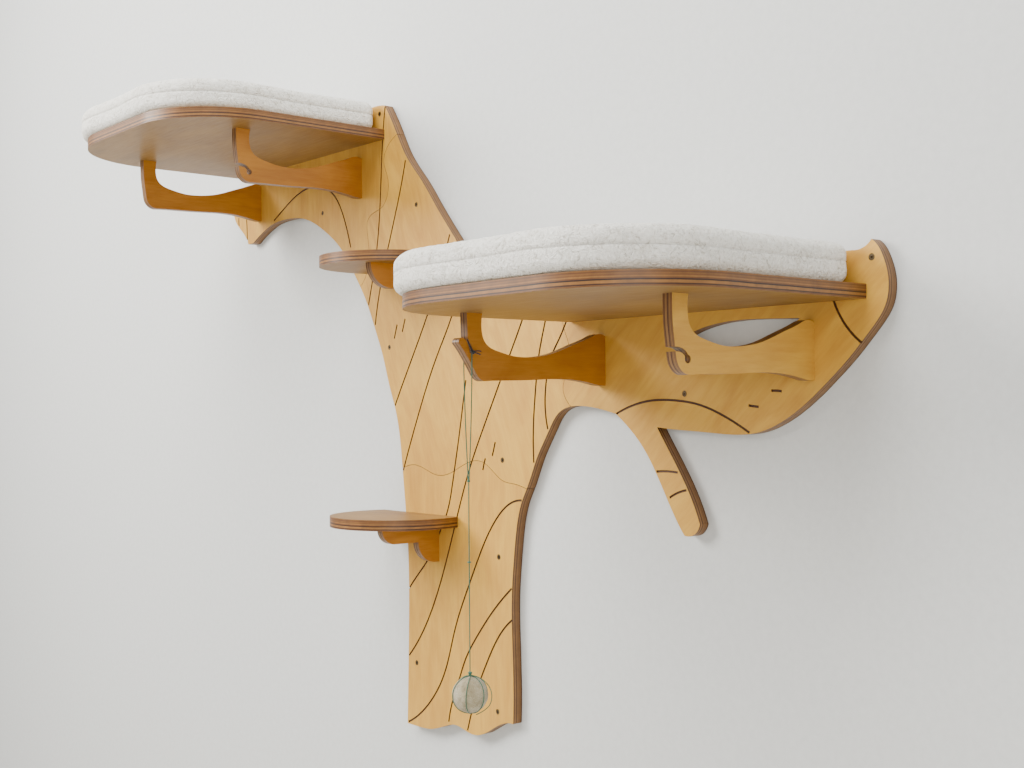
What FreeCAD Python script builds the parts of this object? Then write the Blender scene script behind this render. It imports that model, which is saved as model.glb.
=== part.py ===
"""Wall-hung cat tree: a routed plywood tree with two padded shelves, two steps and a string toy.

Millimetres. +X runs right along the wall, +Y goes into the wall and +Z is up.
The wall is the plane Y = 0, and the origin lies on it behind the lower trunk.
"""
import math
import os

import FreeCAD
import Part

V = FreeCAD.Vector

# ---- driving dimensions -------------------------------------------------------------------
PANEL_THICK = 18.0
SEAM_WIDTH = 0.8
SEAM_OVERRUN = 40.0
GROOVE_WIDTH = 3.4
GROOVE_DEPTH = 2.0

SHELF_WIDTH = 530.0
SHELF_DEPTH = 400.0
SHELF_THICK = 18.0
SHELF_CORNERS = (178.0, 152.0)
RIGHT_SHELF_X = 288.0
RIGHT_SHELF_Z = 400.0
LEFT_SHELF_X = -742.0
LEFT_SHELF_Z = 762.0

BRACKET_THICK = 15.0
POST_MID = 246.5
STEP_THICK = 18.0
STEP_RADIUS = 118.5
STEP_CENTRE_OUT = 45.0
LOWER_STEP = (-110.0, 68.0)
UPPER_STEP = (-140.0, 518.0)

CUSHION_HEIGHT = 57.0
CUSHION_WIDTH = 523.0
CUSHION_DEPTH = 404.0
CUSHION_CORNERS = (180.0, 154.0)
CUSHION_EDGE = 17.0
CUSHION_BACK_GAP = 5.0
CUSHION_OVERHANG = 8.0
COVER_WALL = 3.0
SOFT_GAP = 0.3

HEAD_RADIUS = 4.2
HEAD_HEIGHT = 2.7
HEAD_SINK = 3.0
HEAD_GAP = 0.3
SHANK_RADIUS = 2.0
THREAD_RADIUS = 2.5
CLEARANCE_RADIUS = 2.8
PILOT_RADIUS = 2.2
THREAD_START = 1.0
THREAD_END = 35.0
POINT_LENGTH = 5.0
SOCKET_RADIUS = 1.6
SOCKET_DEPTH = 1.4

STRING_RADIUS = 0.8
STRING_OUT = 253.0
TIE_RADIUS = 1.2
TIE_Z = 346.5
KNOT_RADIUS = 2.2
MERGE_Z = 171.0
STRAND_BEND_Z = 280.0
STRAND_GAP = 0.8
STRAND_BEND_RADIUS = 60.0
BALL_RADIUS = 24.5
BALL_Z = -118.0
NET_RADIUS = 0.6
NET_POLE_ANGLE = 11.0
BALL_KNOT_RADIUS = 3.2

FACE_Y = -PANEL_THICK

# ---- outlines of the tree panel, seen from the front (X, Z) -------------------------------
PANEL_EDGES = [
    [(-150, -289), (-112, -289), (-83, -287), (-45, -276), (-8, -267), (20, -272), (42, -274),
     (70, -266), (99, -250), (142, -238)],
    [(142, -238), (142, -120), (142, -20), (147, 26), (154, 74), (168, 120), (183, 146),
     (205, 190), (233, 232), (258, 262), (283, 271), (310, 272), (346, 268), (383, 260)],
    [(383, 260), (407, 242), (437, 213), (462, 178), (487, 135), (516, 91)],
    [(516, 91), (534, 93), (545, 108)],
    [(545, 108), (526, 150), (499, 193), (466, 241)],
    [(466, 241), (500, 238), (554, 235), (606, 232), (651, 236), (694, 253), (727, 274),
     (763, 303), (794, 331), (816, 354), (833, 373), (845, 392), (849, 410), (848, 430),
     (843, 447), (835, 463), (826, 472)],
    [(826, 472), (820, 466), (812, 462), (798, 461)],
    [(798, 461), (640, 460), (460, 464), (280, 470), (150, 481), (60, 508), (-2, 559)],
    [(-2, 559), (-20, 579), (-58, 623), (-97, 670), (-145, 722), (-174, 768), (-211, 824)],
    [(-211, 824), (-256, 827), (-330, 816), (-450, 803), (-570, 800), (-650, 788), (-690, 760)],
    [(-690, 760), (-703, 740), (-745, 715), (-787, 690)],
    [(-787, 690), (-781, 678), (-751, 651), (-724, 621)],
    [(-724, 621), (-704, 621)],
    [(-704, 621), (-658, 641), (-614, 653), (-570, 656), (-517, 653), (-476, 643), (-417, 615),
     (-364, 579), (-313, 522), (-274, 469), (-247, 419), (-221, 366), (-198, 305), (-183, 271),
     (-160, 156), (-146, 32), (-144, -110), (-150, -289)],
]
EYE_TOP = [(522, 368), (570, 381), (640, 385), (718, 382)]
EYE_BOTTOM = [(718, 382), (692, 365), (640, 342), (575, 340), (522, 368)]

SEAMS = [
    [(-160, 163), (-133, 170), (-97, 165), (-62, 155), (-27, 157), (7, 170), (40, 181),
     (66, 181), (91, 169), (122, 151), (153, 147), (180, 141)],
    [(264, 470), (266, 440), (269, 401), (274, 385), (281, 368), (278, 340), (271, 312),
     (268, 297), (275, 282), (285, 271)],
    [(-178, 762), (-208, 740), (-214, 720), (-203, 693), (-202, 662), (-220, 639), (-252, 630),
     (-269, 617), (-270, 598), (-265, 568), (-271, 525), (-281, 509), (-296, 497)],
]
PANEL_PIECES = {
    "panel_trunk_lower": (0, 60),
    "panel_trunk_upper": (-60, 400),
    "panel_left_branch": (-480, 720),
    "panel_right_branch": (450, 300),
}

GROOVES = [
    [(-614, 659), (-559, 685), (-500, 705), (-440, 706), (-387, 684), (-349, 633), (-326, 575)],
    [(-209, 821), (-222, 712), (-238, 566), (-252, 511), (-267, 462)],
    [(-146, 714), (-172, 637), (-202, 563), (-228, 492), (-245, 424)],
    [(-17, 567), (-48, 497), (-84, 431), (-127, 363), (-183, 275)],
    [(0, 455), (-14, 425), (-54, 363), (-111, 260), (-159, 158)],
    [(25, 317), (8, 235), (-13, 145), (-31, 89), (-49, 60), (-88, 4), (-114, -21), (-143, -50)],
    [(186, 437), (172, 409), (141, 356), (115, 312), (80, 252), (33, 167), (-1, 88), (-29, 18),
     (-57, -45), (-93, -108), (-144, -168)],
    [(238, 440), (228, 405), (212, 352), (205, 310), (198, 245), (198, 183)],
    [(281, 410), (276, 401), (261, 377), (245, 355), (229, 310), (226, 273), (232, 236)],
    [(168, 122), (140, 116), (103, 88), (64, 35), (31, -24), (-10, -106), (-38, -180),
     (-88, -246), (-147, -286)],
    [(141, -21), (95, -61), (50, -110), (17, -155), (3, -184), (-25, -248), (-29, -265)],
    [(141, -72), (107, -103), (75, -151), (57, -183), (32, -244), (23, -270)],
    [(384, 260), (414, 271), (455, 279), (500, 279), (544, 273), (586, 259), (634, 235)],
    [(770, 401), (786, 371), (811, 346)],
    [(464, 178), (485, 179), (505, 178)],
    [(489, 142), (503, 149), (521, 154)],
    [(671, 290), (680, 290), (688, 289)],
    [(633, 271), (642, 270), (650, 269)],
    [(102, 214), (98, 202), (94, 191)],
    [(76, 187), (72, 177), (69, 167)],
    [(-150, 430), (-155, 418), (-159, 407)],
    [(-175, 421), (-180, 408), (-184, 396)],
    [(-731, 675), (-729, 650), (-728, 626)],
    [(-765, 682), (-765, 671), (-764, 665)],
]
WALL_SCREWS = [
    (-227, 811), (-114, 630), (-426, 652), (826, 450), (519, 288),
    (-200, 381), (120, 185), (109, 27), (-121, -178), (103, -225),
]

# ---- bracket profile: out from the panel face, and down from the shelf ---------------------
BRACKET_TOP = [(233, 0), (234, -26), (229, -39), (219, -47), (204, -52), (175, -58), (139, -58),
               (102, -52), (60, -38), (31, -28), (12, -22), (0, -25)]
BRACKET_BOTTOM = [(0, -98), (10, -98), (28, -95), (64, -90), (98, -89), (149, -91), (205, -92),
                  (230, -93)]
FRONT_EDGE = [(230, -93), (243, -90), (252, -80), (255, -67), (259, -37), (260, 0)]
HOOK_EDGE = [(230, -93), (240, -88), (248, -77), (258, -62), (267, -50), (274, -42)]
HOOK_TIP = [(274, -42), (273, -37), (265, -35)]
HOOK_INNER = [(265, -35), (261, -39), (257.5, -45), (255.6, -52)]
HOOK_BOTTOM = [(255.6, -52), (252.6, -55), (249.6, -52)]
HOOK_OUTER = [(249.6, -52), (253, -44), (257, -38), (259, -30)]
KEYHOLE_PATH = [(264, -64), (252, -64), (243, -66), (236, -73)]
KEYHOLE_WIDTH = 5.4
KEYHOLE_CENTRE = (235, -75)
KEYHOLE_RADIUS = 5.0
BRACKETS = {
    "bracket_left_outer": (-682.0, LEFT_SHELF_Z, "plain"),
    "bracket_left_inner": (-302.0, LEFT_SHELF_Z, "keyhole"),
    "bracket_right_inner": (347.0, RIGHT_SHELF_Z, "hook"),
    "bracket_right_outer": (725.0, RIGHT_SHELF_Z, "keyhole"),
}
BRACKET_SCREW_DROPS = (42.0, 80.0)

# ---- corbels under the steps: right face X, step underside Z, first lobe radius ------------
CORBEL_THICK = 15.0
CORBEL_OUT = 118.0
CORBEL_LOBE = 36.0
CORBELS = {
    "lower_step_corbel": (-53.0, LOWER_STEP[1], 26.0),
    "upper_step_corbel": (-83.0, UPPER_STEP[1], 42.0),
}
CORBEL_SCREW_DROPS = (15.0, 48.0)
SHELF_EDGE_SCREWS = (165.0, 365.0)
LOWER_STEP_SCREWS = (-115.0, -20.0)
UPPER_STEP_SCREWS = (-205.0, -60.0)


# ---- helpers ------------------------------------------------------------------------------
def front_points(pairs, y):
    return [V(x, y, z) for x, z in pairs]


def side_points(pairs, x, z):
    return [V(x, FACE_Y - out, z + up) for out, up in pairs]


def spline_edge(points):
    curve = Part.BSplineCurve()
    curve.interpolate(points)
    return curve.toShape()


def curve_edge(points):
    """A line through two points, an arc through three or a smooth curve through more."""
    if len(points) == 2:
        return Part.LineSegment(points[0], points[1]).toShape()
    if len(points) == 3:
        return Part.Arc(*points).toShape()
    return spline_edge(points)


def solid_from(stretches, push):
    edges = [curve_edge(points) for points in stretches]
    return Part.Face(Part.Wire(edges)).extrude(push)


def strip(points, width, push):
    """A strip of even width along a smooth line, pushed square to its plane."""
    curve = Part.BSplineCurve()
    curve.interpolate(points)
    one = []
    other = []
    for point in points:
        tangent = V(*curve.tangent(curve.parameter(point))[0])
        side = tangent.cross(push).normalize() * (width / 2)
        one.append(point + side)
        other.append(point - side)
    other.reverse()
    edges = [
        spline_edge(one),
        Part.LineSegment(one[-1], other[0]).toShape(),
        spline_edge(other),
        Part.LineSegment(other[-1], one[0]).toShape(),
    ]
    return Part.Face(Part.Wire(edges)).extrude(push)


def overrun(pairs, length):
    """The same line carried straight on past both of its ends."""
    def beyond(end, inner):
        dx = end[0] - inner[0]
        dz = end[1] - inner[1]
        scale = length / math.hypot(dx, dz)
        return (end[0] + dx * scale, end[1] + dz * scale)
    return [beyond(pairs[0], pairs[1])] + pairs + [beyond(pairs[-1], pairs[-2])]


def cylinder(radius, start, end):
    axis = end - start
    return Part.makeCylinder(radius, axis.Length, start, axis)


def ball(radius, centre):
    return Part.makeSphere(radius, centre)


# ---- fixings ------------------------------------------------------------------------------
def sunk_screw(mouth, direction, length):
    """Screw whose head sits just under the surface at mouth."""
    head_top = mouth + direction * HEAD_GAP
    seat = head_top + direction * HEAD_HEIGHT
    screw = cylinder(HEAD_RADIUS, head_top, seat)
    screw = screw.fuse(cylinder(SHANK_RADIUS, seat, mouth + direction * length))
    return screw.cut(cylinder(SOCKET_RADIUS, head_top, head_top + direction * SOCKET_DEPTH))


def sunk_hole(mouth, direction, length):
    """Clearance for a sunk screw, a little wider and deeper than the screw."""
    seat = mouth + direction * HEAD_SINK
    hole = cylinder(HEAD_RADIUS + HEAD_GAP, mouth, seat)
    return hole.fuse(cylinder(PILOT_RADIUS, mouth, mouth + direction * (length + 1.0)))


def wall_screw(x, z):
    front = V(x, FACE_Y + HEAD_GAP, z)
    seat = V(x, FACE_Y + HEAD_SINK, z)
    thread = V(x, THREAD_START, z)
    end = V(x, THREAD_END, z)
    screw = cylinder(HEAD_RADIUS, front, seat)
    screw = screw.fuse(cylinder(SHANK_RADIUS, seat, thread))
    screw = screw.fuse(cylinder(THREAD_RADIUS, thread, end))
    screw = screw.fuse(Part.makeCone(THREAD_RADIUS, 0, POINT_LENGTH, end, V(0, 1, 0)))
    return screw.cut(cylinder(SOCKET_RADIUS, front, front + V(0, SOCKET_DEPTH, 0)))


def wall_hole(x, z):
    seat = V(x, FACE_Y + HEAD_SINK, z)
    hole = cylinder(HEAD_RADIUS + HEAD_GAP, V(x, FACE_Y, z), seat)
    return hole.fuse(cylinder(CLEARANCE_RADIUS, seat, V(x, 0, z)))


def fixing_places():
    """Name of each screw group: list of (mouth, direction, length)."""
    inward = V(0, -1, 0)
    down = V(0, 0, -1)
    places = {"bracket_screws": [], "shelf_screws": [], "shelf_edge_screws": [],
              "step_screws": [], "corbel_screws": []}
    for left, shelf_z, _ in BRACKETS.values():
        middle = left + BRACKET_THICK / 2
        for drop in BRACKET_SCREW_DROPS:
            places["bracket_screws"].append((V(middle, 0, shelf_z - drop), inward, 50.0))
        top = V(middle, FACE_Y - POST_MID, shelf_z + SHELF_THICK)
        places["shelf_screws"].append((top, down, 45.0))
    for left, shelf_z in ((LEFT_SHELF_X, LEFT_SHELF_Z), (RIGHT_SHELF_X, RIGHT_SHELF_Z)):
        for step in SHELF_EDGE_SCREWS:
            mouth = V(left + step, 0, shelf_z + SHELF_THICK / 2)
            places["shelf_edge_screws"].append((mouth, inward, 55.0))
    for (_, z), across in ((LOWER_STEP, LOWER_STEP_SCREWS), (UPPER_STEP, UPPER_STEP_SCREWS)):
        for x in across:
            places["step_screws"].append((V(x, 0, z + STEP_THICK / 2), inward, 50.0))
    for right, z, _ in CORBELS.values():
        for drop in CORBEL_SCREW_DROPS:
            mouth = V(right - CORBEL_THICK / 2, 0, z - drop)
            places["corbel_screws"].append((mouth, inward, 38.0))
    return places


# ---- wooden pieces ------------------------------------------------------------------------
def make_panel_pieces(holes):
    outline = [front_points(pairs, FACE_Y) for pairs in PANEL_EDGES]
    panel = solid_from(outline, V(0, PANEL_THICK, 0))
    eye = [front_points(pairs, FACE_Y) for pairs in (EYE_TOP, EYE_BOTTOM)]
    cutters = [solid_from(eye, V(0, PANEL_THICK, 0))]
    for pairs in SEAMS:
        line = front_points(overrun(pairs, SEAM_OVERRUN), FACE_Y)
        cutters.append(strip(line, SEAM_WIDTH, V(0, PANEL_THICK, 0)))
    cutters += [wall_hole(x, z) for x, z in WALL_SCREWS]
    panel = panel.cut(cutters + holes)
    for pairs in GROOVES:
        groove = strip(front_points(pairs, FACE_Y), GROOVE_WIDTH, V(0, GROOVE_DEPTH, 0))
        panel = panel.cut(groove)
    pieces = {}
    for name, (x, z) in PANEL_PIECES.items():
        probe = V(x, FACE_Y / 2, z)
        pieces[name] = [s for s in panel.Solids if s.isInside(probe, 0.01, True)][0]
    return pieces


def rounded_plan(left, width, back, depth, corners, z):
    """Plan outline with square back corners and a round corner at each end of the front."""
    right = left + width
    front = back - depth
    first, second = corners
    reach = 1 - math.cos(math.pi / 4)
    stretches = [
        [(left, back), (left, front + first)],
        [(left, front + first), (left + reach * first, front + reach * first),
         (left + first, front)],
        [(left + first, front), (right - second, front)],
        [(right - second, front), (right - reach * second, front + reach * second),
         (right, front + second)],
        [(right, front + second), (right, back)],
        [(right, back), (left, back)],
    ]
    return [[V(x, y, z) for x, y in pairs] for pairs in stretches]


def make_shelf(left, z, holes):
    plan = rounded_plan(left, SHELF_WIDTH, FACE_Y, SHELF_DEPTH, SHELF_CORNERS, z)
    return solid_from(plan, V(0, 0, SHELF_THICK)).cut(holes)


def make_bracket(left, z, style, holes):
    top = BRACKET_TOP
    if style == "hook":
        front = [HOOK_EDGE, HOOK_TIP, HOOK_INNER, HOOK_BOTTOM, HOOK_OUTER, [(259, -30), (260, 0)]]
    else:
        front = [FRONT_EDGE]
    stretches = [BRACKET_BOTTOM] + front + [[(260, 0), (233, 0)], top, [(0, -25), (0, -98)]]
    profile = [side_points(pairs, left, z) for pairs in stretches]
    plate = solid_from(profile, V(BRACKET_THICK, 0, 0))
    if style == "keyhole":
        plate = plate.cut(make_keyhole(left, z))
    return plate.cut(holes)


def make_keyhole(left, z):
    """Slot from the front edge down to a round pocket, through the plate."""
    through = V(BRACKET_THICK, 0, 0)
    slot = strip(side_points(KEYHOLE_PATH, left, z), KEYHOLE_WIDTH, through)
    centre = side_points([KEYHOLE_CENTRE], left, z)[0]
    return slot.fuse(cylinder(KEYHOLE_RADIUS, centre, centre + through))


def make_step(x, z, holes):
    """Round step cut off straight where it meets the panel."""
    centre = V(x, FACE_Y - STEP_CENTRE_OUT, z)
    disc = Part.makeCylinder(STEP_RADIUS, STEP_THICK, centre)
    size = 3 * STEP_RADIUS
    behind = Part.makeBox(size, size, STEP_THICK, V(x - size / 2, FACE_Y, z))
    return disc.cut([behind] + holes)


def make_corbel(right, z, lobe, holes):
    """Two quarter-round lobes stepping back to the panel."""
    bend = math.sin(math.pi / 4)
    tip = CORBEL_OUT - lobe
    heel = 8.0
    foot = -lobe - CORBEL_LOBE
    stretches = [
        [(0, 0), (CORBEL_OUT, 0)],
        [(CORBEL_OUT, 0), (tip + lobe * bend, -lobe * bend), (tip, -lobe)],
        [(tip, -lobe), (heel + CORBEL_LOBE, -lobe)],
        [(heel + CORBEL_LOBE, -lobe), (heel + CORBEL_LOBE * bend, -lobe - CORBEL_LOBE * bend),
         (heel, foot)],
        [(heel, foot), (0, foot)],
        [(0, foot), (0, 0)],
    ]
    profile = [side_points(pairs, right - CORBEL_THICK, z) for pairs in stretches]
    return solid_from(profile, V(CORBEL_THICK, 0, 0)).cut(holes)


# ---- cushions -----------------------------------------------------------------------------
def make_cushion(left, shelf_top):
    """Cover with a sealed hollow, and the foam core that fills it."""
    back = FACE_Y - CUSHION_BACK_GAP
    low = shelf_top + SOFT_GAP

    def pad(inset, edge):
        corners = [corner - inset for corner in CUSHION_CORNERS]
        plan = rounded_plan(left + inset, CUSHION_WIDTH - 2 * inset, back - inset,
                            CUSHION_DEPTH - 2 * inset, corners, low + inset)
        block = solid_from(plan, V(0, 0, CUSHION_HEIGHT - 2 * inset))
        rims = [e for e in block.Edges if abs(e.BoundBox.ZLength) < 0.01]
        return block.makeFillet(edge, rims)

    cover = pad(0, CUSHION_EDGE).cut(pad(COVER_WALL, CUSHION_EDGE - COVER_WALL))
    core = pad(COVER_WALL + SOFT_GAP, CUSHION_EDGE - COVER_WALL - SOFT_GAP)
    return cover, core


# ---- string toy ---------------------------------------------------------------------------
def make_strand(x, towards):
    """One side of the thread loop: straight down past the plate, then in to the knot."""
    y = FACE_Y - STRING_OUT
    top = V(x, y, TIE_Z)
    bend = V(x, y, STRAND_BEND_Z)
    foot = V(towards, y, MERGE_Z)
    slant = (foot - bend).normalize()
    trim = STRAND_BEND_RADIUS * math.tan(slant.getAngle(V(0, 0, -1)) / 2)
    before = bend + V(0, 0, trim)
    after = bend + slant * trim
    middle = (before + after) * 0.5
    pull = STRAND_BEND_RADIUS / math.cos(slant.getAngle(V(0, 0, -1)) / 2) - STRAND_BEND_RADIUS
    crown = bend + (middle - bend).normalize() * pull
    path = Part.Wire([
        Part.LineSegment(top, before).toShape(),
        Part.Arc(before, crown, after).toShape(),
        Part.LineSegment(after, foot).toShape(),
    ])
    ring = Part.Wire(Part.Circle(top, V(0, 0, -1), STRING_RADIUS).toShape())
    return path.makePipeShell([ring], True, False)


def make_meridian(centre, radius, turn):
    """One thread over the ball, from near its top to near its bottom."""
    outward = V(math.cos(math.radians(turn)), math.sin(math.radians(turn)), 0)
    spread = radius * math.sin(math.radians(NET_POLE_ANGLE))
    rise = radius * math.cos(math.radians(NET_POLE_ANGLE))
    top = centre + outward * spread + V(0, 0, rise)
    bottom = centre + outward * spread - V(0, 0, rise)
    path = Part.Arc(top, centre + outward * radius, bottom).toShape()
    start = path.tangentAt(path.FirstParameter)
    ring = Part.Wire(Part.Circle(top, start, NET_RADIUS).toShape())
    return Part.Wire(path).makePipeShell([ring], True, False)


def make_toy():
    y = FACE_Y - STRING_OUT
    plate_left, _, _ = BRACKETS["bracket_right_inner"]
    plate_right = plate_left + BRACKET_THICK
    middle = (plate_left + plate_right) / 2
    offset = STRAND_GAP + STRING_RADIUS
    left_x = plate_left - offset
    right_x = plate_right + offset
    tie = cylinder(TIE_RADIUS, V(left_x - 1.2, y, TIE_Z), V(right_x + 1.2, y, TIE_Z))
    tie = tie.fuse(ball(2.6, V(right_x + 2.0, y, TIE_Z)))
    tie = tie.fuse(cylinder(0.8, V(right_x + 2.0, y, TIE_Z), V(right_x + 6.0, y + 12.0, TIE_Z + 3)))
    centre = V(middle, y, BALL_Z)
    ring_radius = BALL_RADIUS + NET_RADIUS + SOFT_GAP
    net = [make_meridian(centre, ring_radius, 60 * i) for i in range(6)]
    ball_top = BALL_Z + ring_radius
    string_top = MERGE_Z - KNOT_RADIUS - SOFT_GAP
    foot = V(middle, y, ball_top + BALL_KNOT_RADIUS)
    lower = cylinder(STRING_RADIUS, V(middle, y, string_top), foot)
    small_knot = Part.makeTorus(1.9, 0.9, V(middle, y, 61.0), V(0, 0, 1))
    return {
        "hook_tie": tie,
        "string_strand_left": make_strand(left_x, middle - 0.9),
        "string_strand_right": make_strand(right_x, middle + 0.9),
        "string_knot": ball(KNOT_RADIUS, V(middle, y, MERGE_Z)),
        "string_lower": lower,
        "string_lower_knot": small_knot,
        "toy_ball": ball(BALL_RADIUS, centre),
        "toy_ball_net": Part.makeCompound(net),
        "toy_ball_knot": ball(BALL_KNOT_RADIUS, foot),
    }


# ---- the whole object ---------------------------------------------------------------------
def build():
    places = fixing_places()
    holes = {name: [sunk_hole(*place) for place in group] for name, group in places.items()}
    nodes = {}
    through_panel = (holes["bracket_screws"] + holes["shelf_edge_screws"]
                     + holes["step_screws"] + holes["corbel_screws"])
    nodes.update(make_panel_pieces(through_panel))
    shelf_holes = holes["shelf_screws"] + holes["shelf_edge_screws"]
    nodes["left_shelf"] = make_shelf(LEFT_SHELF_X, LEFT_SHELF_Z, shelf_holes)
    nodes["right_shelf"] = make_shelf(RIGHT_SHELF_X, RIGHT_SHELF_Z, shelf_holes)
    bracket_holes = holes["bracket_screws"] + holes["shelf_screws"]
    for name, (left, z, style) in BRACKETS.items():
        nodes[name] = make_bracket(left, z, style, bracket_holes)
    nodes["lower_step"] = make_step(*LOWER_STEP, holes["step_screws"])
    nodes["upper_step"] = make_step(*UPPER_STEP, holes["step_screws"])
    for name, (right, z, lobe) in CORBELS.items():
        nodes[name] = make_corbel(right, z, lobe, holes["corbel_screws"])
    for side, shelf_x, shelf_z in (("left", LEFT_SHELF_X, LEFT_SHELF_Z),
                                   ("right", RIGHT_SHELF_X, RIGHT_SHELF_Z)):
        cover, core = make_cushion(shelf_x - CUSHION_OVERHANG, shelf_z + SHELF_THICK)
        nodes[side + "_cushion_cover"] = cover
        nodes[side + "_cushion_foam"] = core
    nodes["wall_screws"] = Part.makeCompound([wall_screw(x, z) for x, z in WALL_SCREWS])
    for name, group in places.items():
        nodes[name] = Part.makeCompound([sunk_screw(*place) for place in group])
    nodes.update(make_toy())
    return nodes


os.makedirs("parts", exist_ok=True)
for node_name, shape in build().items():
    shape.exportStep("parts/" + node_name + ".step")
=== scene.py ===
"""Looks of the wall-hung cat tree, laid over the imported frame. Metres, Z up."""
import math

import bpy
from mathutils import Matrix, Vector, noise


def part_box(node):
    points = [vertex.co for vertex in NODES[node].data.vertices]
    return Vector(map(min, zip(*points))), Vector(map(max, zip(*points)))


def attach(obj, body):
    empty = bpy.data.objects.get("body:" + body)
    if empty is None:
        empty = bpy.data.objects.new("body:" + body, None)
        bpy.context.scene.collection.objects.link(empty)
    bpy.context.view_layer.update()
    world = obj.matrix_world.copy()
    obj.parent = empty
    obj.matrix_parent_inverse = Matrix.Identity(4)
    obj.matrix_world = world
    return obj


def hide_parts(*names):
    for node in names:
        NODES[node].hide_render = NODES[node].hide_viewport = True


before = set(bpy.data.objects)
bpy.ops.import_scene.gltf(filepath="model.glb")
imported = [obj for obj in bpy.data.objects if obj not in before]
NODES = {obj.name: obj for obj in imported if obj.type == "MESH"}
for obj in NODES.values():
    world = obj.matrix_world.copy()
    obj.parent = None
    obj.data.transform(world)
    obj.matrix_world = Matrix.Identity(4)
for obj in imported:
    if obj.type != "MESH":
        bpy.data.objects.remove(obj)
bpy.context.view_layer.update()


# ---- camera -------------------------------------------------------------------------------
CAMERA_PLACE = (1.7504, -1.3618, 0.2728)
CAMERA_LENS = 45.7
CAMERA_YAW = -0.8736
CAMERA_PITCH = 0.0169
CAMERA_ROLL = -0.0078


def make_camera():
    forward = Vector((math.sin(CAMERA_YAW) * math.cos(CAMERA_PITCH),
                      math.cos(CAMERA_YAW) * math.cos(CAMERA_PITCH), math.sin(CAMERA_PITCH)))
    side = Vector((math.cos(CAMERA_YAW), -math.sin(CAMERA_YAW), 0.0))
    up = side.cross(forward)
    right = side * math.cos(CAMERA_ROLL) + up * math.sin(CAMERA_ROLL)
    top = up * math.cos(CAMERA_ROLL) - side * math.sin(CAMERA_ROLL)
    data = bpy.data.cameras.new("camera")
    data.lens = CAMERA_LENS
    data.sensor_width = 36.0
    camera = bpy.data.objects.new("camera", data)
    basis = Matrix((right, top, -forward)).transposed().to_4x4()
    camera.matrix_world = Matrix.Translation(CAMERA_PLACE) @ basis
    bpy.context.scene.collection.objects.link(camera)
    bpy.context.scene.camera = camera


make_camera()


# ---- node helpers -------------------------------------------------------------------------
def srgb(red, green, blue):
    def linear(value):
        value /= 255.0
        return value / 12.92 if value <= 0.04045 else ((value + 0.055) / 1.055) ** 2.4
    return (linear(red), linear(green), linear(blue), 1.0)


class Nodes:
    """A material's node tree, with short ways to add to it."""

    def __init__(self, name, **shader):
        self.material = bpy.data.materials.new(name)
        self.material.use_nodes = True
        self.tree = self.material.node_tree
        self.shader = self.tree.nodes["Principled BSDF"]
        for key, value in shader.items():
            self.shader.inputs[key.replace("_", " ")].default_value = value
        self.coords = self.tree.nodes.new("ShaderNodeTexCoord")

    def link(self, source, target):
        self.tree.links.new(source, target)

    def put(self, value, socket):
        if hasattr(value, "is_output"):
            self.link(value, socket)
        else:
            socket.default_value = value

    def math(self, kind, first, second=0.0):
        node = self.tree.nodes.new("ShaderNodeMath")
        node.operation = kind
        self.put(first, node.inputs[0])
        self.put(second, node.inputs[1])
        return node.outputs[0]

    def mapping(self, scale, rotation=(0, 0, 0), vector=None):
        node = self.tree.nodes.new("ShaderNodeMapping")
        node.vector_type = "TEXTURE" if rotation != (0, 0, 0) else "POINT"
        if rotation != (0, 0, 0):
            node.inputs["Rotation"].default_value = rotation
            node.inputs["Scale"].default_value = tuple(1.0 / s for s in scale)
        else:
            node.inputs["Scale"].default_value = scale
        self.link(vector or self.coords.outputs["Object"], node.inputs["Vector"])
        return node.outputs[0]

    def noise(self, vector, scale, detail=4.0, rough=0.55, distortion=0.0):
        node = self.tree.nodes.new("ShaderNodeTexNoise")
        node.inputs["Scale"].default_value = scale
        node.inputs["Detail"].default_value = detail
        node.inputs["Roughness"].default_value = rough
        node.inputs["Distortion"].default_value = distortion
        self.link(vector, node.inputs["Vector"])
        return node.outputs["Fac"]

    def ramp(self, value, stops):
        node = self.tree.nodes.new("ShaderNodeValToRGB")
        while len(node.color_ramp.elements) < len(stops):
            node.color_ramp.elements.new(0.5)
        for element, (place, colour) in zip(node.color_ramp.elements, stops):
            element.position = place
            element.color = colour
        self.put(value, node.inputs[0])
        return node.outputs[0]

    def grey(self, value, low, high):
        node = self.tree.nodes.new("ShaderNodeMapRange")
        node.inputs["To Min"].default_value = low
        node.inputs["To Max"].default_value = high
        self.link(value, node.inputs["Value"])
        return node.outputs[0]

    def mix(self, factor, first, second, kind="MIX"):
        node = self.tree.nodes.new("ShaderNodeMix")
        node.data_type = "RGBA"
        node.blend_type = kind
        self.put(factor, node.inputs[0])
        self.put(first, node.inputs[6])
        self.put(second, node.inputs[7])
        return node.outputs[2]

    def bump(self, height, distance, strength=1.0):
        node = self.tree.nodes.new("ShaderNodeBump")
        node.inputs["Strength"].default_value = strength
        node.inputs["Distance"].default_value = distance
        self.link(height, node.inputs["Height"])
        self.link(node.outputs[0], self.shader.inputs["Normal"])

    def finish(self, colour, rough):
        self.put(colour, self.shader.inputs["Base Color"])
        self.put(rough, self.shader.inputs["Roughness"])
        return self.material


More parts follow.
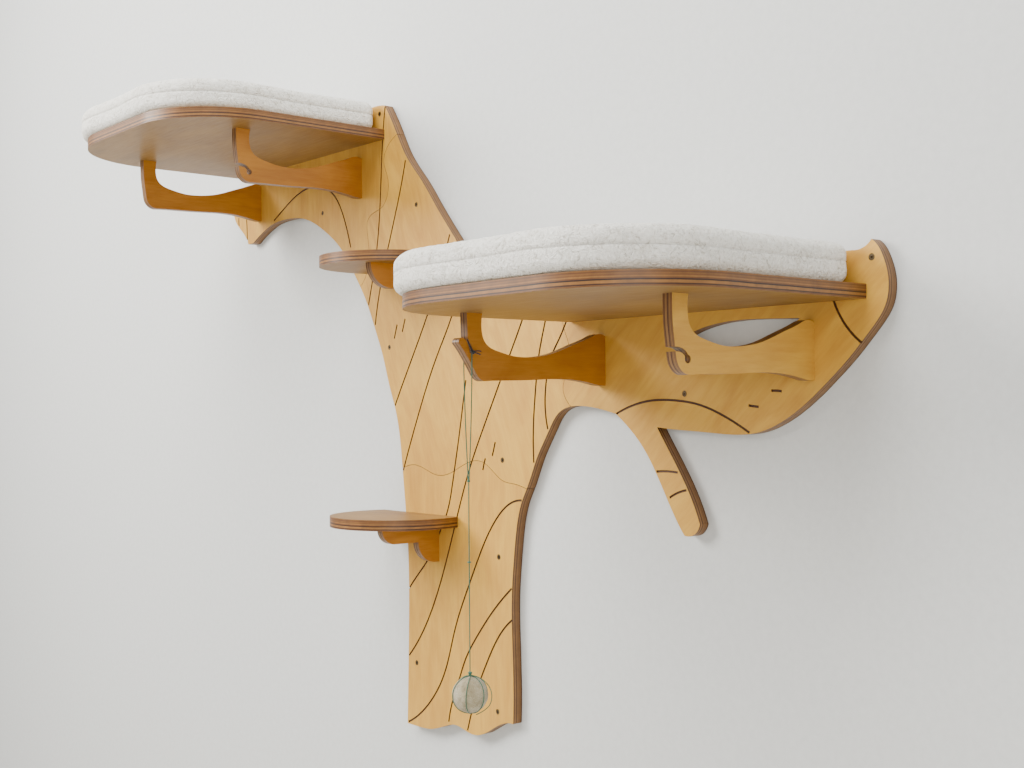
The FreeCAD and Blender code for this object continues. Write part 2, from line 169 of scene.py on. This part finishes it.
# ---- materials ----------------------------------------------------------------------------
def plywood(name, axis, low, high, turn, light, dark, edges, layers, figure=5.0):
    """Veneer on the two faces across axis, and plies in every cut through them."""
    n = Nodes(name, Coat_Weight=0.12, Coat_Roughness=0.3, Specular_IOR_Level=0.4)
    along = n.mapping((1.0, 9.0, 9.0), turn)
    cloud = n.noise(n.mapping((1.0, 3.0, 3.0), turn), figure, 3.0, 0.5, 1.6)
    streak = n.noise(along, 22.0, 6.0, 0.6, 0.3)
    pores = n.noise(n.mapping((1.0, 26.0, 26.0), turn), 60.0, 3.0, 0.6)
    tone = n.math("ADD", n.math("MULTIPLY", cloud, 0.55), n.math("MULTIPLY", streak, 0.3))
    tone = n.math("ADD", tone, n.math("MULTIPLY", pores, 0.15))
    middle = tuple((a + b) / 2 for a, b in zip(light, dark))
    veneer = n.ramp(tone, [(0.28, dark), (0.46, middle), (0.62, light)])

    split = n.tree.nodes.new("ShaderNodeSeparateXYZ")
    n.link(n.coords.outputs["Object"], split.inputs[0])
    depth = split.outputs[axis]
    facing = n.tree.nodes.new("ShaderNodeSeparateXYZ")
    n.link(n.coords.outputs["Normal"], facing.inputs[0])
    flat = n.math("GREATER_THAN", n.math("ABSOLUTE", facing.outputs[axis]), 0.7)
    centre = n.math("ABSOLUTE", n.math("SUBTRACT", depth, (low + high) / 2))
    outer = n.math("GREATER_THAN", centre, (high - low) / 2 - 0.0004)
    face = n.math("MULTIPLY", flat, outer)

    wobble = n.noise(n.mapping((1.0, 1.0, 1.0)), 30.0, 2.0)
    share = n.math("MULTIPLY", n.math("SUBTRACT", depth, low), 1.0 / (high - low))
    share = n.math("ADD", share, n.math("MULTIPLY", n.math("SUBTRACT", wobble, 0.5), 0.05))
    number = n.math("FLOOR", n.math("MULTIPLY", share, layers))
    pick = n.tree.nodes.new("ShaderNodeTexWhiteNoise")
    pick.noise_dimensions = "1D"
    n.link(number, pick.inputs["W"])
    ply = n.ramp(pick.outputs["Value"], [(0.0, edges[0]), (0.45, edges[1]), (0.8, edges[2])])
    burn = n.noise(n.mapping((1.0, 1.0, 1.0)), 55.0, 5.0, 0.65)
    ply = n.mix(n.grey(burn, 0.0, 0.75), ply, edges[0])

    height = n.math("ADD", n.math("MULTIPLY", streak, 0.6), n.math("MULTIPLY", pores, 0.4))
    n.bump(height, 0.0004, 0.35)
    rough = n.grey(n.math("ADD", n.math("MULTIPLY", face, -0.35), streak), 0.62, 0.36)
    return n.finish(n.mix(face, ply, veneer), rough)


def fabric():
    """Looped off-white wool: small curls of differing depth, with a soft sheen."""
    n = Nodes("boucle", Sheen_Weight=0.25, Sheen_Roughness=0.6, Specular_IOR_Level=0.1)
    place = n.mapping((1.0, 1.0, 1.0))
    curls = n.noise(place, 115.0, 2.0, 0.55, 1.8)
    crumb = n.noise(place, 330.0, 4.0, 0.7, 1.0)
    wide = n.noise(place, 24.0, 3.0, 0.6)
    tone = n.math("ADD", n.math("MULTIPLY", curls, 0.55), n.math("MULTIPLY", crumb, 0.3))
    tone = n.math("ADD", tone, n.math("MULTIPLY", wide, 0.15))
    colour = n.ramp(tone, [(0.36, srgb(200, 194, 180)), (0.46, srgb(244, 241, 232)),
                           (0.56, srgb(255, 253, 245))])
    n.bump(tone, 0.008, 1.0)
    return n.finish(colour, n.grey(crumb, 0.85, 1.0))


def thread(name, light, dark, pitch):
    """Twisted yarn: slanting plies with a little fuzz."""
    n = Nodes(name, Sheen_Weight=0.3, Specular_IOR_Level=0.2)
    wave = n.tree.nodes.new("ShaderNodeTexWave")
    wave.bands_direction = "DIAGONAL"
    wave.inputs["Scale"].default_value = pitch
    wave.inputs["Distortion"].default_value = 1.5
    n.link(n.coords.outputs["Object"], wave.inputs["Vector"])
    fuzz = n.noise(n.mapping((1.0, 1.0, 1.0)), 900.0, 3.0)
    tone = n.math("ADD", n.math("MULTIPLY", wave.outputs["Fac"], 0.6),
                  n.math("MULTIPLY", fuzz, 0.4))
    n.bump(tone, 0.0004, 0.8)
    return n.finish(n.ramp(tone, [(0.2, dark), (0.8, light)]), n.grey(fuzz, 0.7, 0.95))


def wool():
    n = Nodes("felted_wool", Sheen_Weight=0.4, Specular_IOR_Level=0.1)
    place = n.mapping((1.0, 1.0, 1.0))
    fibre = n.noise(place, 420.0, 8.0, 0.75, 2.5)
    patch = n.noise(place, 70.0, 3.0)
    tone = n.math("ADD", n.math("MULTIPLY", fibre, 0.65), n.math("MULTIPLY", patch, 0.35))
    colour = n.ramp(tone, [(0.3, srgb(96, 84, 60)), (0.5, srgb(168, 156, 124)),
                           (0.7, srgb(214, 206, 182))])
    n.bump(tone, 0.0022, 1.0)
    return n.finish(colour, n.grey(fibre, 0.85, 1.0))


def steel():
    n = Nodes("zinc_steel", Metallic=1.0)
    scratch = n.noise(n.mapping((1.0, 1.0, 6.0)), 700.0, 4.0, 0.6)
    n.bump(scratch, 0.0001, 0.5)
    colour = n.ramp(scratch, [(0.3, srgb(62, 50, 36)), (0.7, srgb(128, 112, 88))])
    return n.finish(colour, n.grey(scratch, 0.25, 0.5))


def paint(name, light, dark, one_sided):
    n = Nodes(name, Specular_IOR_Level=0.2)
    plaster = n.noise(n.mapping((1.0, 1.0, 1.0)), 90.0, 5.0, 0.6)
    n.bump(plaster, 0.0006, 0.25)
    if one_sided:
        sides = n.tree.nodes.new("ShaderNodeNewGeometry")
        n.link(n.math("SUBTRACT", 1.0, sides.outputs["Backfacing"]), n.shader.inputs["Alpha"])
    return n.finish(n.ramp(plaster, [(0.3, dark), (0.7, light)]), 0.8)


# turns lay the grain's direction (local X) along the given line of the piece
UPRIGHT = (0.0, math.pi / 2, 0.0)
LEVEL = (0.0, 0.0, 0.0)
SLOPING = (0.0, -0.75, 0.0)
OUTWARD = (0.0, 0.0, math.pi / 2)
PANEL_EDGE = (srgb(66, 38, 16), srgb(108, 72, 36), srgb(162, 118, 66))
SHELF_EDGE = (srgb(38, 18, 8), srgb(96, 54, 20), srgb(164, 112, 52))
PALE = srgb(204, 157, 60)
TAN = srgb(178, 126, 44)
# The next two tones are painted shade: a darker copy of the ply tone for the brackets and corbels
# that sit under the shelves and steps.
PAINTED_SHADE_AMBER = srgb(178, 120, 34)
PAINTED_SHADE_HONEY = srgb(146, 88, 18)
# The next two tones are painted shade: a darker base for the shelves and steps, standing in for
# the shade on their undersides and on the steps' tops.
PAINTED_SHADE_DEEP = srgb(138, 102, 40)
PAINTED_SHADE_DARK = srgb(112, 78, 28)

TRUNK = plywood("birch_ply_trunk", 1, -0.018, 0.0, UPRIGHT, PALE, TAN, PANEL_EDGE, 13)
CROWN = plywood("birch_ply_crown", 1, -0.018, 0.0, (0.0, 1.2, 0.0), PALE, TAN, PANEL_EDGE, 13, 7.0)
LIMB = plywood("birch_ply_limb", 1, -0.018, 0.0, SLOPING, PALE, TAN, PANEL_EDGE, 13, 6.0)
RAISED = plywood("birch_ply_raised", 1, -0.018, 0.0, UPRIGHT, PALE, TAN, PANEL_EDGE, 13, 6.0)
PANELS = {"panel_trunk_lower": TRUNK, "panel_trunk_upper": CROWN,
          "panel_left_branch": RAISED, "panel_right_branch": LIMB}


def dress(node, material):
    piece = NODES[node]
    piece.data.materials.clear()
    piece.data.materials.append(material)


for node, material in PANELS.items():
    dress(node, material)
# Shelves and steps take the darker painted-shade tones.
for node in ("left_shelf", "right_shelf", "lower_step", "upper_step"):
    low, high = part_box(node)
    dress(node, plywood("ply_" + node, 2, low[2], high[2], LEVEL, PAINTED_SHADE_DEEP, PAINTED_SHADE_DARK, SHELF_EDGE, 11))
# Painted light and shade: the right outer bracket takes the lit pale panel tone, every other
# bracket and corbel the darker painted-shade copy.
SIDES = {"bracket_left_outer": (PAINTED_SHADE_AMBER, PAINTED_SHADE_HONEY), "bracket_left_inner": (PAINTED_SHADE_AMBER, PAINTED_SHADE_HONEY),
         "bracket_right_inner": (PAINTED_SHADE_AMBER, PAINTED_SHADE_HONEY), "bracket_right_outer": (PALE, TAN),
         "lower_step_corbel": (PAINTED_SHADE_AMBER, PAINTED_SHADE_HONEY), "upper_step_corbel": (PAINTED_SHADE_AMBER, PAINTED_SHADE_HONEY)}
for node, (light, dark) in SIDES.items():
    low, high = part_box(node)
    dress(node, plywood("ply_" + node, 0, low[0], high[0], OUTWARD, light, dark, PANEL_EDGE, 9))
STEEL = steel()
for node in ("wall_screws", "bracket_screws", "shelf_screws", "shelf_edge_screws",
             "step_screws", "corbel_screws"):
    dress(node, STEEL)
BLACK = thread("black_thread", srgb(46, 46, 52), srgb(10, 10, 14), 600.0)
GREEN = thread("green_thread", srgb(74, 132, 104), srgb(16, 62, 48), 500.0)
WOOL = wool()
BOUCLE = fabric()


# ---- pieces -------------------------------------------------------------------------------
def add_mesh(name, points, faces, material, body, replaced=()):
    mesh = bpy.data.meshes.new(name)
    mesh.from_pydata(points, [], faces)
    mesh.polygons.foreach_set("use_smooth", [True] * len(mesh.polygons))
    mesh.materials.append(material)
    piece = bpy.data.objects.new(name, mesh)
    bpy.context.scene.collection.objects.link(piece)
    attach(piece, body)
    if replaced:
        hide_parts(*replaced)
    return piece


def add_curve(name, routes, radius, material, body, replaced=(), closed=False):
    data = bpy.data.curves.new(name, "CURVE")
    data.dimensions = "3D"
    data.bevel_depth = radius
    data.bevel_resolution = 3
    data.use_fill_caps = True
    data.resolution_u = 16
    for route in routes:
        spline = data.splines.new("NURBS")
        spline.points.add(len(route) - 1)
        for point, place in zip(spline.points, route):
            point.co = (*place, 1.0)
        spline.order_u = 3
        spline.use_endpoint_u = not closed
        spline.use_cyclic_u = closed
    data.materials.append(material)
    piece = bpy.data.objects.new(name, data)
    bpy.context.scene.collection.objects.link(piece)
    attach(piece, body)
    if replaced:
        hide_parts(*replaced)
    return piece


# ---- the string toy -----------------------------------------------------------------------
HANG_Y = -0.271
PLATE = (0.347, 0.362)
MIDDLE = sum(PLATE) / 2
STRAND_GAP = 0.0016
LEFT_X = PLATE[0] - STRAND_GAP
RIGHT_X = PLATE[1] + STRAND_GAP
TIE_Z = 0.3465
BEND_Z = 0.280
KNOT_Z = 0.171
STRING_TOP = 0.1685
STRING_RADIUS = 0.0008
NET_THREAD = 0.0006
BALL = Vector((MIDDLE, HANG_Y, -0.118))
WOOL_RADIUS = 0.0243
NET_RADIUS = 0.0254
FOOT_Z = BALL.z + NET_RADIUS + 0.0032


def make_strings():
    for side, x, foot in (("left", LEFT_X, -0.0009), ("right", RIGHT_X, 0.0009)):
        node = "string_strand_" + side
        route = [(x, HANG_Y, TIE_Z), (x, HANG_Y, BEND_Z), (MIDDLE + foot, HANG_Y, KNOT_Z)]
        strand = add_curve("green_strand_" + side, [route], STRING_RADIUS, GREEN, "string_loop",
                           [node])


def ball_thread(turn, radius, wander):
    """A closed loop over the ball through both poles, straying a little from a circle."""
    across = Vector((math.cos(turn), math.sin(turn), 0.0))
    beside = Vector((-math.sin(turn), math.cos(turn), 0.0))
    route = []
    for i in range(24):
        angle = 2 * math.pi * i / 24
        stray = wander * math.sin(2 * angle + turn * 5)
        out = (across * math.sin(angle) + Vector((0, 0, 1)) * math.cos(angle)) * radius
        route.append(BALL + out + beside * stray)
    return route


def make_ball():
    steps = 48
    points = []
    faces = []
    for i in range(1, steps):
        tilt = math.pi * i / steps
        for j in range(2 * steps):
            turn = math.pi * j / steps
            out = Vector((math.sin(tilt) * math.cos(turn), math.sin(tilt) * math.sin(turn),
                          math.cos(tilt)))
            lump = 0.0009 * noise.noise(out * 5.0) + 0.0006 * noise.noise(out * 22.0)
            points.append(BALL + out * (WOOL_RADIUS + lump))
    ring = 2 * steps
    for i in range(steps - 2):
        for j in range(ring):
            k = (j + 1) % ring
            faces.append((i * ring + j, (i + 1) * ring + j, (i + 1) * ring + k, i * ring + k))
    faces.append(tuple(range(ring)))
    faces.append(tuple(reversed(range((steps - 2) * ring, (steps - 1) * ring))))
    ball = add_mesh("wool_ball", points, faces, WOOL, "toy", ["toy_ball"])

    loops = [ball_thread(math.pi * i / 3 + 0.2, NET_RADIUS, 0.0012) for i in range(3)]
    net = add_curve("ball_threads", loops, NET_THREAD, GREEN, "toy", ["toy_ball_net"],
                    closed=True)
    loose = [BALL + Vector((x, y, z)) for x, y, z in (
        (0.002, -0.002, 0.027), (0.012, 0.006, 0.025), (0.025, 0.014, 0.014),
        (0.029, 0.016, -0.003), (0.022, 0.012, -0.019), (0.008, 0.004, -0.0265))]
    stray = add_curve("loose_thread", [loose], NET_THREAD, GREEN, "toy", ())
    knot_low, knot_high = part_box("toy_ball_knot")
    knot_at = (Vector(knot_low) + Vector(knot_high)) / 2
    turns = []
    for i in range(60):
        angle = i * 0.72
        reach = 0.0022 + 0.0005 * math.sin(i * 0.9)
        turns.append(knot_at + Vector((
            reach * math.cos(angle), reach * math.sin(angle) * math.cos(i * 0.1),
            reach * math.sin(angle) * math.sin(i * 0.1))))
    knot = add_curve("ball_knot", [turns], 0.0007, GREEN, "toy", ["toy_ball_knot"])
    tail = add_curve("knot_tail", [[knot_at, knot_at + Vector((0.003, -0.003, 0.004)),
                                    knot_at + Vector((0.008, -0.003, 0.003))]],
                     0.0005, GREEN, "toy", ())
    route = [(MIDDLE, HANG_Y, STRING_TOP), (MIDDLE, HANG_Y, 0.04), (MIDDLE, HANG_Y, FOOT_Z)]
    string = add_curve("green_string", [route], STRING_RADIUS, GREEN, "toy", ["string_lower"])


def make_tie():
    """Black thread wound round the hook's slot, with its knot and two cut tails."""
    turns = []
    for i in range(26):
        share = i / 25
        turns.append((LEFT_X - 0.001 + share * (RIGHT_X - LEFT_X + 0.003),
                      HANG_Y + 0.0006 * math.cos(i * 1.6), TIE_Z + 0.0006 * math.sin(i * 1.6)))
    right = RIGHT_X + 0.0018
    knot = [(right + 0.0016 * math.cos(i * 0.8) * math.cos(i * 0.17),
             HANG_Y + 0.0022 * math.sin(i * 0.8), TIE_Z + 0.0024 * math.cos(i * 0.8 + 0.5))
            for i in range(30)]
    up = [(right, HANG_Y, TIE_Z), (right, HANG_Y - 0.0035, 0.352),
          (right - 0.0004, HANG_Y - 0.0065, 0.3585), (right - 0.0002, HANG_Y - 0.009, 0.3635)]
    tail_one = [(right, HANG_Y, TIE_Z), (right + 0.002, HANG_Y + 0.006, 0.3490),
                (right + 0.002, HANG_Y + 0.0130, 0.3475)]
    tail_two = [(right, HANG_Y, TIE_Z), (right + 0.002, HANG_Y + 0.005, 0.3455),
                (right + 0.003, HANG_Y + 0.0110, 0.3430)]
    add_curve("hook_thread", [turns, knot, up, tail_one, tail_two], STRING_RADIUS, BLACK,
              "string_loop", ["hook_tie"])


make_strings()
make_ball()
make_tie()
dress("string_knot", GREEN)
dress("string_lower_knot", GREEN)


# ---- cushions -----------------------------------------------------------------------------
CORNERS = (0.180, 0.154)
BACK_CORNER = 0.02
SIDE_PULL = 0.0035
REACH_IN = 0.19
SHOULDER_INSET = 0.0196
SHOULDER_HEIGHT = 0.0525
CROWN_REACH = 0.09
CROWN_RISE = 0.0075
AROUND = 420


def outline_point(share, low, high, inset):
    """A point on the cushion's plan: small back corners, large front ones, sides pulled in."""
    left, back = low[0] + inset, high[1] - inset
    right, front = high[0] - inset, low[1] + inset
    near, far = (max(corner - inset, 0.012) for corner in CORNERS)
    small = max(BACK_CORNER - inset, 0.008)
    width = right - left
    depth = back - front
    quarter = math.pi / 2
    runs = [
        ("line", (left + near, front), (right - far, front), width - near - far),
        ("arc", (right - far, front + far), far, -quarter),
        ("line", (right, front + far), (right, back - small), depth - far - small),
        ("arc", (right - small, back - small), small, 0.0),
        ("line", (right - small, back), (left + small, back), width - 2 * small),
        ("arc", (left + small, back - small), small, quarter),
        ("line", (left, back - small), (left, front + near), depth - near - small),
        ("arc", (left + near, front + near), near, 2 * quarter),
    ]
    lengths = [run[3] if run[0] == "line" else run[2] * quarter for run in runs]
    place = share * sum(lengths)
    for run, length in zip(runs, lengths):
        if place <= length:
            break
        place -= length
    part = min(place / length, 1.0)
    if run[0] == "line":
        pull = SIDE_PULL * math.sin(math.pi * part)
        x = run[1][0] + (run[2][0] - run[1][0]) * part
        y = run[1][1] + (run[2][1] - run[1][1]) * part
        middle = Vector(((left + right) / 2, (front + back) / 2))
        inward = Vector((0.0, math.copysign(1, middle.y - y))) if run[1][1] == run[2][1] \
            else Vector((math.copysign(1, middle.x - x), 0.0))
        return Vector((x, y)) + inward * pull
    angle = run[3] + part * quarter
    return Vector((run[1][0] + run[2] * math.cos(angle), run[1][1] + run[2] * math.sin(angle)))


def cushion_profile():
    """(inset, height) from the middle of the underside out and up to the middle of the top."""
    rows = [(REACH_IN - 0.175 * i / 14, 0.0) for i in range(15)]
    for i in range(1, 9):
        angle = math.pi / 2 * i / 8
        rows.append((0.015 * (1 - math.sin(angle)), 0.014 * (1 - math.cos(angle))))
    rows += [(0.0002, 0.018), (0.0004, 0.0225), (0.0006, 0.0268), (0.0015, 0.0275),
             (0.0006, 0.0282), (0.0004, 0.0325), (0.0004, 0.036)]
    for i in range(1, 11):
        angle = math.pi / 2 * i / 10
        rows.append((0.0006 + 0.019 * (1 - math.cos(angle)), 0.036 + 0.0165 * math.sin(angle)))
    for i in range(1, 37):
        inset = SHOULDER_INSET + (REACH_IN - SHOULDER_INSET) * i / 36
        share = min((inset - SHOULDER_INSET) / CROWN_REACH, 1.0)
        rows.append((inset, SHOULDER_HEIGHT + CROWN_RISE * math.sin(math.pi / 2 * share)))
    return rows


def make_cushion(side):
    low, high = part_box(side + "_cushion_cover")
    rows = cushion_profile()
    around = AROUND
    seed = 3.0 if side == "left" else 11.0
    points = []
    for inset, height in rows:
        for j in range(around):
            flat = outline_point(j / around, low, high, inset)
            place = Vector((flat.x, flat.y, low[2] + height))
            if height > 0.001:
                wide = noise.noise(Vector((flat.x * 9, flat.y * 9, height * 20 + seed)))
                curl = noise.noise(place * 210.0)
                nub = noise.noise(place * 95.0 + Vector((seed, 0, 0)))
                shift = 0.0011 * wide + 0.0006 * curl + 0.0006 * nub
                centre = Vector(((low[0] + high[0]) / 2, (low[1] + high[1]) / 2, place.z))
                outward = (place - centre).normalized() if height < 0.045 else Vector((0, 0, 1))
                place += outward * shift
            points.append(place)
    faces = []
    for i in range(len(rows) - 1):
        for j in range(around):
            k = (j + 1) % around
            faces.append((i * around + j, i * around + k, (i + 1) * around + k,
                          (i + 1) * around + j))
    faces.append(tuple(reversed(range(around))))
    last = (len(rows) - 1) * around
    faces.append(tuple(range(last, last + around)))
    pad = add_mesh(side + "_cushion", points, faces, BOUCLE, side + "_cushion",
                   [side + "_cushion_cover", side + "_cushion_foam"])


make_cushion("left")
make_cushion("right")


# ---- stage --------------------------------------------------------------------------------
def make_plane(name, corners, material):
    mesh = bpy.data.meshes.new(name)
    mesh.from_pydata(corners, [], [(0, 1, 2, 3)])
    mesh.materials.append(material)
    plane = bpy.data.objects.new(name, mesh)
    bpy.context.scene.collection.objects.link(plane)


def make_light(name, place, target, size, power, tint):
    data = bpy.data.lights.new(name, "AREA")
    data.shape = "DISK"
    data.size = size
    data.energy = power
    data.color = tint
    lamp = bpy.data.objects.new(name, data)
    lamp.location = place
    lamp.rotation_euler = (Vector(target) - Vector(place)).to_track_quat("-Z", "Y").to_euler()
    bpy.context.scene.collection.objects.link(lamp)


make_plane("wall", [(-4, 0.0006, -0.9), (4, 0.0006, -0.9), (4, 0.0006, 2.6), (-4, 0.0006, 2.6)],
           paint("wall_paint", srgb(211, 213, 212), srgb(205, 207, 206), True))
make_plane("floor", [(-4, -4, -0.9), (4, -4, -0.9), (4, 4, -0.9), (-4, 4, -0.9)],
           paint("floor_paint", srgb(206, 203, 196), srgb(198, 195, 188), False))
make_light("window", (-1.9, -2.3, 1.7), (0.1, 0, 0.4), 1.6, 170, (1.0, 0.97, 0.92))
make_light("fill", (2.6, -2.2, 0.5), (0.3, 0, 0.3), 1.8, 42, (1.0, 0.95, 0.88))
make_light("overhead", (0.2, -1.5, 2.7), (0, 0, 0.4), 2.2, 112, (1.0, 0.99, 0.96))
world = bpy.data.worlds.new("studio")
world.use_nodes = True
world.node_tree.nodes["Background"].inputs["Color"].default_value = (0.95, 0.95, 0.95, 1.0)
world.node_tree.nodes["Background"].inputs["Strength"].default_value = 0.55
bpy.context.scene.world = world
